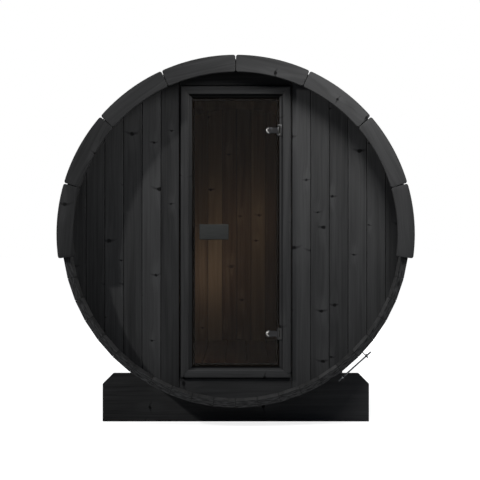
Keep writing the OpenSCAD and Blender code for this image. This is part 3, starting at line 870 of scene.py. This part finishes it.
# Steps of the door frame: metres from the opening outwards, and from the wall's face inwards
STOP_IN, LIP_MIDDLE, LIP_OUT, CASING_OUT, FRAME_OUT = -0.017, 0.0085, 0.020, 0.065, 0.0727
CASING_FRONT, LIP_DEPTH, CASING_BACK, STOP_DEPTH, FRAME_BACK = -0.016, 0.004, 0.012, 0.020, 0.038
FRAME_SECTION = (
    (LIP_OUT, CASING_FRONT), (CASING_OUT, CASING_FRONT), (CASING_OUT, CASING_BACK), (FRAME_OUT, CASING_BACK),
    (FRAME_OUT, FRAME_BACK), (STOP_IN, FRAME_BACK), (STOP_IN, STOP_DEPTH), (0.0, STOP_DEPTH),
    (0.0, LIP_DEPTH), (LIP_MIDDLE, LIP_DEPTH), (LIP_OUT, LIP_DEPTH),
)
# Clearance round the glass, open mitres, and the rounding of the frame's other edges
GLASS_GAP, MITRE_GAP, FRAME_EASE = 0.006, 0.0005, 0.0015
# How far in the painted shade reaches, and how near a face lies to a step that it belongs to
SHADE_BACK, FACE_NEAR = 0.030, 0.0005


class SAUNA_OT_door_frame(bpy.types.Operator):
    """Build the door frame of four mitred mouldings"""

    bl_idname = "sauna.door_frame"
    bl_label = "Door frame"

    def execute(self, context):
        sizes = context.scene.sauna_sizes
        rng = random.Random(43)
        opening = (GLASS_HIGH - GLASS_LOW) / 2 + Vector((GLASS_GAP, 0, GLASS_GAP))
        # Turn, reach, half length and tone of a member, and the finishes of its lip beside glass and casing,
        # where 1 is painted shade
        # The head's tone is lower than the jambs' for the fascia's shadow on it: painted shade
        members = (
            ("door_jamb_right", 0, opening.x, opening.z, 0.5, 0, 0),
            ("door_head", -90, opening.z, opening.x, 0.42, 1, 1),
            ("door_jamb_left", 180, opening.x, opening.z, 0.5, 0, 0),
            ("door_sill", 90, opening.z, opening.x, 0.65, 1, 0),
        )
        for name, turn, reach, half, tone, near_glass, near_casing in members:
            bm = wood_mesh()
            section = [
                bm.verts.new((reach + a, WALL_LOW.y + d, -(half + a - MITRE_GAP))) for a, d in FRAME_SECTION
            ]
            foot = bm.faces.new(section)
            grown = bmesh.ops.extrude_face_region(bm, geom=[foot])["geom"]
            bmesh.ops.scale(bm, vec=(1, 1, -1), verts=[g for g in grown if isinstance(g, bmesh.types.BMVert)])
            bmesh.ops.recalc_face_normals(bm, faces=bm.faces)
            long_edges = [e for e in bm.edges if abs(run(e).z) > half]
            front = [e for e in long_edges if e.verts[0].co.y < WALL_LOW.y + CASING_FRONT / 2]
            ease(bm, front, sizes.casing_ease, 3)
            long_edges = [e for e in sharp_edges(bm.verts, 60) if abs(run(e).z) > half]
            ease(bm, long_edges, FRAME_EASE, 1)
            stamp(bm, list(bm.verts), UPRIGHT, rng, tone)
            # Painted shade: the rebate, the head's lip and the sill's lip next to the glass are near black,
            # and the stop dark grey
            for f in bm.faces:
                middle = f.calc_center_median()
                out, depth = middle.x - reach, middle.y - WALL_LOW.y
                if depth < SHADE_BACK and out < FACE_NEAR:
                    f.material_index = 2 if depth > STOP_DEPTH - 2 * FACE_NEAR else 1
                elif depth < SHADE_BACK and out < LIP_OUT - FACE_NEAR:
                    f.material_index = near_glass if out < LIP_MIDDLE else near_casing
            place = Matrix.Translation((0, 0, DOOR.z)) @ Matrix.Rotation(math.radians(turn), 4, "Y")
            bmesh.ops.transform(bm, matrix=place, verts=bm.verts)
            piece(f"{name}_moulding", bm, "cabin", ["black", "seal", "flap"], name)
        return {"FINISHED"}


# Chamfer of the glass, and the pulls: depth and rounding of a grip, its posts, and the roses under them
GLASS_EASE = 0.0012
GRIP_DEPTH, GRIP_EASE = 0.018, 0.004
POST_R, ROSE_R, ROSE_T, ROSE_EASE = 0.009, 0.013, 0.003, 0.001


class SAUNA_OT_door_leaf(bpy.types.Operator):
    """Build the glass leaf with its two pulls"""

    bl_idname = "sauna.door_leaf"
    bl_label = "Door leaf"

    def execute(self, context):
        bm = bmesh.new()
        block(bm, GLASS_LOW, GLASS_HIGH, GLASS_EASE, 1)
        piece("bronze_pane", bm, "door", ["glass"], "door_glass")
        for name, forward in (("outer", -1), ("inner", 1)):
            low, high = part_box(f"door_handle_{name}")
            face = GLASS_LOW.y if forward < 0 else GLASS_HIGH.y
            back = low.y + GRIP_DEPTH if forward < 0 else high.y - GRIP_DEPTH
            bm = bmesh.new()
            if forward < 0:
                block(bm, low, Vector((high.x, back, high.z)), GRIP_EASE, 3)
            else:
                block(bm, Vector((low.x, back, low.z)), high, GRIP_EASE, 3)
            reach = (high.x - low.x) / 3
            middle = (low + high) / 2
            for way in (-1, 1):
                foot = Vector((middle.x + way * reach, face, middle.z))
                rod(bm, foot, Vector((foot.x, back, foot.z)), POST_R, 32)
                rod(bm, foot, foot + Vector((0, forward * ROSE_T, 0)), ROSE_R, 32, ROSE_EASE)
            piece(f"pull_{name}", bm, "door", ["handle"], f"door_handle_{name}")
        return {"FINISHED"}


# Hinges: radius of an arm's round head, and its height and rounding in front of the glass and behind it
HINGE_HEAD = 0.020
HEAD_FRONT, HEAD_FRONT_EASE = 0.0112, 0.0108
HEAD_BACK, HEAD_BACK_EASE = 0.0061, 0.002
ARM_EASE, LEAF_EASE = 0.001, 0.0008
# Width of the knuckle, and how far the painted highlight on a leaf's edge reaches
KNUCKLE_W, LEAF_HIGHLIGHT = 0.006, 0.0195
# Screws of a leaf: radius, height and rounding, and their place from its outer edge and its middle
SCREW_R, SCREW_H, SCREW_EASE = 0.004, 0.0016, 0.0006
SCREW_IN, SCREW_UP = 0.009, 0.012


class SAUNA_OT_hinges(bpy.types.Operator):
    """Build the door's two hinges"""

    bl_idname = "sauna.hinges"
    bl_label = "Hinges"

    def execute(self, context):
        for level in ("upper", "lower"):
            arm_low, arm_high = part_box(f"{level}_hinge_arm")
            head = Vector((arm_low.x + HINGE_HEAD, 0, (arm_low.z + arm_high.z) / 2))
            bm = bmesh.new()
            merged_copy(f"{level}_hinge_arm", bm)
            # The round head is made anew, its front rounded over, and the neck ends in it
            everything = bm.verts[:] + bm.edges[:] + bm.faces[:]
            cut_off(bm, everything, head, Vector((-1, 0, 0)))
            ease(bm, sharp_edges(bm.verts, 50), ARM_EASE, 2)
            for back, front, width in ((GLASS_LOW.y, GLASS_LOW.y - HEAD_FRONT, HEAD_FRONT_EASE),
                                       (GLASS_HIGH.y, GLASS_HIGH.y + HEAD_BACK, HEAD_BACK_EASE)):
                made = rod(bm, head + Vector((0, back, 0)), head + Vector((0, front, 0)), HINGE_HEAD, 48)
                rim = [e for e in sharp_edges(made, 50) if all(abs(v.co.y - front) < SAME for v in e.verts)]
                ease(bm, rim, width, 6)
            # Painted highlights: the head is bright steel and the arm's end at the knuckle satin steel; the
            # neck is darkened steel
            for f in bm.faces:
                x = f.calc_center_median().x
                f.material_index = 0 if x < head.x - ARM_EASE else 1 if x < arm_high.x - KNUCKLE_W else 2
            piece(f"{level}_hinge_clamp", bm, "door", ["steel", "dark_steel", "satin"],
                  f"{level}_hinge_arm")
            bm = bmesh.new()
            eased_copy(f"{level}_hinge_plate", bm, 50, LEAF_EASE, 2)
            low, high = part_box(f"{level}_hinge_plate")
            for way in (-1, 1):
                foot = Vector((high.x - SCREW_IN, WALL_LOW.y, (low.z + high.z) / 2 + way * SCREW_UP))
                rod(bm, foot, foot - Vector((0, SCREW_H, 0)), SCREW_R, 24, SCREW_EASE)
            # Its rounded edge beside the knuckle is painted with a highlight in satin steel
            everything = bm.verts[:] + bm.edges[:] + bm.faces[:]
            bmesh.ops.bisect_plane(bm, geom=everything, plane_co=(low.x + LEAF_HIGHLIGHT, 0, 0),
                                   plane_no=(1, 0, 0))
            for f in bm.faces:
                f.material_index = int(KNUCKLE_W < f.calc_center_median().x - low.x < LEAF_HIGHLIGHT)
            piece(f"{level}_hinge_leaf", bm, "cabin", ["dark_steel", "satin"],
                  f"{level}_hinge_plate")
        return {"FINISHED"}


# Tone in the middle of a cradle's plank, and what it gains towards the right end: painted light
CRADLE_TONE, CRADLE_LIGHT_GAIN = 0.50, 0.50


class SAUNA_OT_cradles(bpy.types.Operator):
    """Build the two cradles"""

    bl_idname = "sauna.cradles"
    bl_label = "Cradles"

    def execute(self, context):
        sizes = context.scene.sauna_sizes
        rng = random.Random(53)
        for end, _ in ENDS:
            bm = wood_mesh()
            eased_copy(f"{end}_cradle", bm, 20, sizes.edge_ease, 2)
            stamp(bm, list(bm.verts), LEVEL, rng, CRADLE_TONE)
            # The plank is painted paler towards its right end, as light where the lamps leave it dark:
            # painted light
            shade = bm.verts.layers.float["tone"]
            reach = max(v.co.x for v in bm.verts)
            for v in bm.verts:
                v[shade] = CRADLE_TONE + CRADLE_LIGHT_GAIN * v.co.x / reach
            piece(f"{end}_cradle_plank", bm, "cabin", ["cradle"], f"{end}_cradle")
        return {"FINISHED"}


# Tension rods: length, radius, root of the thread as a share of it, and the lugs' outer faces from the middle
ROD_LENGTH, ROD_R, THREAD_ROOT, LUG_FACE = 0.256, 0.005, 0.87, 0.0923
LUG_EASE = 0.0008
# Washers and nuts: radius, where each ends outside a lug, and rounding
WASHER_R, WASHER_END, WASHER_EASE, WASHER_BITE = 0.0098, 0.0016, 0.0004, 0.0001
NUT_R, NUT_END, NUT_EASE = 0.0094, 0.0080, 0.0008


class SAUNA_OT_hoops(bpy.types.Operator):
    """Build the hoops' lugs and threaded rods, and finish the bands"""

    bl_idname = "sauna.hoops"
    bl_label = "Hoops"

    def execute(self, context):
        sizes = context.scene.sauna_sizes
        for end, _ in ENDS:
            refinish(f"{end}_hoop", "band")
            bm = bmesh.new()
            eased_copy(f"{end}_hoop_lugs", bm, 50, LUG_EASE, 2)
            piece(f"{end}_hoop_angles", bm, "cabin", ["band"], f"{end}_hoop_lugs")
            bm = bmesh.new()
            self.threaded_rod(bm, sizes, *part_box(f"{end}_tension_rod"))
            piece(f"{end}_threaded_rod", bm, "cabin", ["zinc"], f"{end}_tension_rod")
        return {"FINISHED"}

    def threaded_rod(self, bm, sizes, low, high):
        """A rod with a rolled thread, and a washer and a nut outside each lug."""
        middle = (low + high) / 2
        # The rod lies square to the line from the barrel's axis, which it meets in its middle
        out = Vector((middle.x, 0, middle.z - AXIS.z)).normalized()
        line = Vector((-out.z, 0, out.x))
        turns = int(ROD_LENGTH / sizes.thread_pitch)
        root = ROD_R * THREAD_ROOT
        start = -turns * sizes.thread_pitch / 2
        path = [Vector((0, 0, start))]
        for i in range(turns):
            z = start + i * sizes.thread_pitch
            path += [Vector((root, 0, z)), Vector((ROD_R, 0, z + sizes.thread_pitch / 2))]
        path += [Vector((root, 0, -start)), Vector((0, 0, -start))]
        verts = [bm.verts.new(p) for p in path]
        edges = [bm.edges.new(pair) for pair in zip(verts, verts[1:])]
        bmesh.ops.spin(bm, geom=verts + edges, cent=(0, 0, 0), axis=(0, 0, 1), angle=math.tau, steps=14,
                       use_merge=True, use_duplicate=False)
        bmesh.ops.remove_doubles(bm, verts=bm.verts, dist=SAME)
        for way in (-1, 1):
            face = Vector((0, 0, way * (LUG_FACE - WASHER_BITE)))
            washer = Vector((0, 0, way * (LUG_FACE + WASHER_END)))
            nut = Vector((0, 0, way * (LUG_FACE + NUT_END)))
            rod(bm, face, washer, WASHER_R, 24, WASHER_EASE)
            rod(bm, washer, nut, NUT_R, 6, NUT_EASE)
        turn = line.to_track_quat("Z", "Y").to_matrix().to_4x4()
        bmesh.ops.transform(bm, matrix=Matrix.Translation(middle) @ turn, verts=bm.verts)


# Floor: width of a board, the gap between two, roundings, and tones
FLOOR_BOARD, FLOOR_GAP, FLOOR_EASE = 0.132, 0.008, 0.003
JOIST_EASE, JOIST_TONE, FLOOR_TONE = 0.002, 0.4, 0.15


class SAUNA_OT_floor(bpy.types.Operator):
    """Build the floor inside"""

    bl_idname = "sauna.floor"
    bl_label = "Floor"

    def execute(self, context):
        rng = random.Random(61)
        low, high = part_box("floor_boards")
        pitch = FLOOR_BOARD + FLOOR_GAP
        bm = wood_mesh()
        for i in range(round((high.x - low.x + FLOOR_GAP) / pitch)):
            x = low.x + i * pitch
            corner = Vector((x + FLOOR_BOARD, high.y, high.z))
            made = block(bm, Vector((x, low.y, low.z)), corner, FLOOR_EASE, 2)
            stamp(bm, made, LENGTHWISE, rng, rng.uniform(0.0, FLOOR_TONE))
        piece("floor_planks", bm, "cabin", ["bare"], "floor_boards")
        bm = wood_mesh()
        eased_copy("floor_bearers", bm, 30, JOIST_EASE, 1)
        stamp(bm, list(bm.verts), LEVEL, rng, JOIST_TONE)
        piece("floor_joists", bm, "cabin", ["bare"], "floor_bearers")
        return {"FINISHED"}


def shingle_tab(bm, way, low_y, high_y, low, high, lifts, thickness, tone):
    """One tab of a course: a thin sheet bent to the roof between two angles above level, lower edge first."""
    shade = bm.verts.layers.float["tone"]
    under = bmesh.ops.create_grid(bm, x_segments=4, y_segments=1, size=0.5)["verts"]
    grown = bmesh.ops.extrude_face_region(bm, geom=faces_of(under))["geom"]
    upper = [g for g in grown if isinstance(g, bmesh.types.BMVert)]
    for points, drop in ((under, thickness), (upper, 0.0)):
        for v in points:
            up, along = v.co.x + 0.5, v.co.y + 0.5
            angle = low + up * (high - low)
            radius = ROOF_IN + lifts[0] + up * (lifts[1] - lifts[0]) - drop
            y = low_y + along * (high_y - low_y)
            v.co = AXIS + Vector((way * radius * math.cos(angle), y, radius * math.sin(angle)))
            v[shade] = tone


# Shingle tabs: height over the staves at the lower and the upper edge, thickness, and how much they differ
TAB_LOW, TAB_HIGH, TAB_T, TAB_LIFT = 0.0094, 0.0058, 0.0030, 0.0006
TAB_TONES = (0.35, 0.85)
# The sheet under the slots: its heights and thickness, and how far it starts above the tabs, as an angle
SHEET_LIFTS, SHEET_T, SHEET_START = (0.0055, 0.0045), 0.0025, 0.004
# Half of the slit between two courses, as an angle
COURSE_SLIT = 0.0002
EAVES_EASE, EAVES_TONE = 0.0015, 0.2


class SAUNA_OT_roof(bpy.types.Operator):
    """Build the roof's courses of shingles and its eaves strips"""

    bl_idname = "sauna.roof"
    bl_label = "Roof"

    def execute(self, context):
        sizes = context.scene.sauna_sizes
        rng = random.Random(71)
        low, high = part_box("roof_courses_right")
        pitch = (high.y - low.y) / sizes.shingle_count
        span = math.pi / 2 / sizes.course_count
        for side, way in SIDES:
            bm = bmesh.new()
            bm.verts.layers.float.new("tone")
            for i in range(sizes.course_count):
                bottom, top = i * span + COURSE_SLIT, (i + 1) * span - COURSE_SLIT
                shingle_tab(bm, way, low.y, high.y, bottom + SHEET_START, top, SHEET_LIFTS, SHEET_T, 0.0)
                shift = (i % 2) * 0.5
                for j in range(sizes.shingle_count + i % 2):
                    y0 = max(low.y, low.y + (j - shift) * pitch + sizes.shingle_slot / 2)
                    y1 = min(high.y, low.y + (j + 1 - shift) * pitch - sizes.shingle_slot / 2)
                    lifts = (TAB_LOW + rng.uniform(-TAB_LIFT, TAB_LIFT), TAB_HIGH)
                    shingle_tab(bm, way, y0, y1, bottom, top, lifts, TAB_T, rng.uniform(*TAB_TONES))
            piece(f"shingles_{side}", bm, "cabin", ["shingle"], f"roof_courses_{side}")
        bm = wood_mesh()
        eased_copy("eaves_strips", bm, 50, EAVES_EASE, 2)
        stamp(bm, list(bm.verts), LENGTHWISE, rng, EAVES_TONE)
        piece("eaves_battens", bm, "cabin", ["black"], "eaves_strips")
        return {"FINISHED"}


# Stage


def lamp(name, place, towards, width, power, spread=180):
    """A soft box at a place, measured from the middle of the barrel, that looks at another."""
    light = bpy.data.lights.new(name, "AREA")
    light.size = width
    light.spread = math.radians(spread)
    light.energy = power
    thing = bpy.data.objects.new(name, light)
    thing.location = AXIS + Vector(place)
    thing.rotation_euler = (Vector(towards) - Vector(place)).to_track_quat("-Z", "Y").to_euler()
    bpy.context.scene.collection.objects.link(thing)


# Camera: lens and sensor in millimetres, its place, and how far it is under the barrel's axis
CAMERA_LENS, CAMERA_SENSOR = 86.0, 36.0
CAMERA_X, CAMERA_Y, CAMERA_DROP = 0.025, -7.763, 0.035


class SAUNA_OT_stage(bpy.types.Operator):
    """Set the floor, the light, the background and the camera"""

    bl_idname = "sauna.stage"
    bl_label = "Stage"

    def execute(self, context):
        scene = context.scene
        scene.view_settings.view_transform = "Standard"
        self.background(scene)
        self.ground()
        # In front: a box close by on the right, and one further off on the left that throws the rim's shadow
        lamp("key_box", (0.994, -2.24, 1.458), (0, -1.03, 0), 0.8, 33.2)
        lamp("side_box", (-3.93, -2.84, 1.90), (0, -1.03, 0), 0.16, 122)
        # Behind and beside, where the front sees nothing of them
        lamp("right_box", (5.0, 0.8, 1.6), (0, 0, 0), 2.0, 120)
        lamp("left_box", (-5.0, 0.8, 1.6), (0, 0, 0), 2.0, 120)
        lamp("rear_box", (1.5, 6.0, 2.4), (0, 1, 0), 2.0, 170)
        # Inside, on the back wall
        lamp("room_box_upper", (0.06, 0.57, 0.15), (0.06, 1.0, 0.15), 0.25, 0.082, 130)
        lamp("room_box_lower", (-0.25, 0.54, -0.28), (-0.25, 1.0, -0.28), 0.25, 0.19, 130)
        camera = bpy.data.cameras.new("camera")
        camera.lens = CAMERA_LENS
        camera.sensor_width = CAMERA_SENSOR
        eye = bpy.data.objects.new("camera", camera)
        eye.location = (CAMERA_X, CAMERA_Y, AXIS.z - CAMERA_DROP)
        eye.rotation_euler = (math.radians(90), 0, 0)
        scene.collection.objects.link(eye)
        scene.camera = eye
        return {"FINISHED"}

    def background(self, scene):
        """White where it is seen, in a reflection or through glass too, and a low even light elsewhere."""
        world = bpy.data.worlds.new("studio")
        scene.world = world
        world.use_nodes = True
        tree = world.node_tree
        tree.nodes.clear()
        path = add(tree, "LightPath")
        seen = add(tree, "Math", [path.outputs["Is Camera Ray"], path.outputs["Is Glossy Ray"]],
                   operation="MAXIMUM")
        seen = add(tree, "Math", [seen, path.outputs["Is Transmission Ray"]], operation="MAXIMUM")
        fill = add(tree, "Background", {"Color": rgba(linear("#b0c8f8")), "Strength": 0.08})
        white = add(tree, "Background", {"Color": (1, 1, 1, 1), "Strength": 1.0})
        mixed = add(tree, "MixShader", [seen, fill, white])
        output = add(tree, "OutputWorld", [mixed])
        output.is_active_output = True

    def ground(self):
        """A pale floor that keeps the shadow and runs into the white background."""
        bm = bmesh.new()
        bmesh.ops.create_grid(bm, x_segments=1, y_segments=1, size=60)
        mesh = bpy.data.meshes.new("ground")
        bm.to_mesh(mesh)
        bm.free()
        material, tree = new_material("pale_floor")
        path = add(tree, "LightPath")
        matt = add(tree, "BsdfDiffuse", {"Color": rgba(linear("#aaaaaa"))})
        seen = add(tree, "Math", [path.outputs["Is Camera Ray"], path.outputs["Is Glossy Ray"]],
                   operation="MAXIMUM")
        # The glow makes up for the light that falls off 2 to 4 m from the barrel
        place = add(tree, "TexCoord").outputs["Object"]
        away = add(tree, "VectorMath", [place], operation="LENGTH")
        level = add(tree, "MapRange", {"Value": away, "From Min": 2.0, "From Max": 4.0,
                                       "To Min": 0.84, "To Max": 1.0})
        share = add(tree, "Math", [seen, level], operation="MULTIPLY")
        glow = add(tree, "Emission", {"Color": (1, 1, 1, 1), "Strength": share})
        both = add(tree, "AddShader", [matt, glow])
        add(tree, "OutputMaterial", [both])
        mesh.materials.append(material)
        thing = bpy.data.objects.new("ground", mesh)
        bpy.context.scene.collection.objects.link(thing)


# Add-on


STEPS = (
    SAUNA_OT_staves, SAUNA_OT_front_boards, SAUNA_OT_back_boards, SAUNA_OT_fascia, SAUNA_OT_door_frame,
    SAUNA_OT_door_leaf, SAUNA_OT_hinges, SAUNA_OT_cradles, SAUNA_OT_hoops, SAUNA_OT_floor, SAUNA_OT_roof,
    SAUNA_OT_stage,
)


class SAUNA_PT_panel(bpy.types.Panel):
    """Lists the sauna's sizes, colours and steps"""

    bl_idname = "SAUNA_PT_panel"
    bl_label = "Barrel sauna"
    bl_space_type = "VIEW_3D"
    bl_region_type = "UI"
    bl_category = "Sauna"

    def draw(self, context):
        for group in (context.scene.sauna_sizes, context.scene.sauna_colours):
            column = self.layout.column(align=True)
            for name in group.__annotations__:
                column.prop(group, name)
        for step in STEPS:
            self.layout.operator(step.bl_idname)


CLASSES = (SaunaSizes, SaunaColours, *STEPS, SAUNA_PT_panel)


def register():
    for cls in CLASSES:
        bpy.utils.register_class(cls)
    bpy.types.Scene.sauna_sizes = PointerProperty(type=SaunaSizes)
    bpy.types.Scene.sauna_colours = PointerProperty(type=SaunaColours)


def unregister():
    del bpy.types.Scene.sauna_colours
    del bpy.types.Scene.sauna_sizes
    for cls in reversed(CLASSES):
        bpy.utils.unregister_class(cls)


def main():
    register()
    for step in STEPS:
        group, name = step.bl_idname.split(".")
        getattr(getattr(bpy.ops, group), name)()


if __name__ == "__main__":
    main()
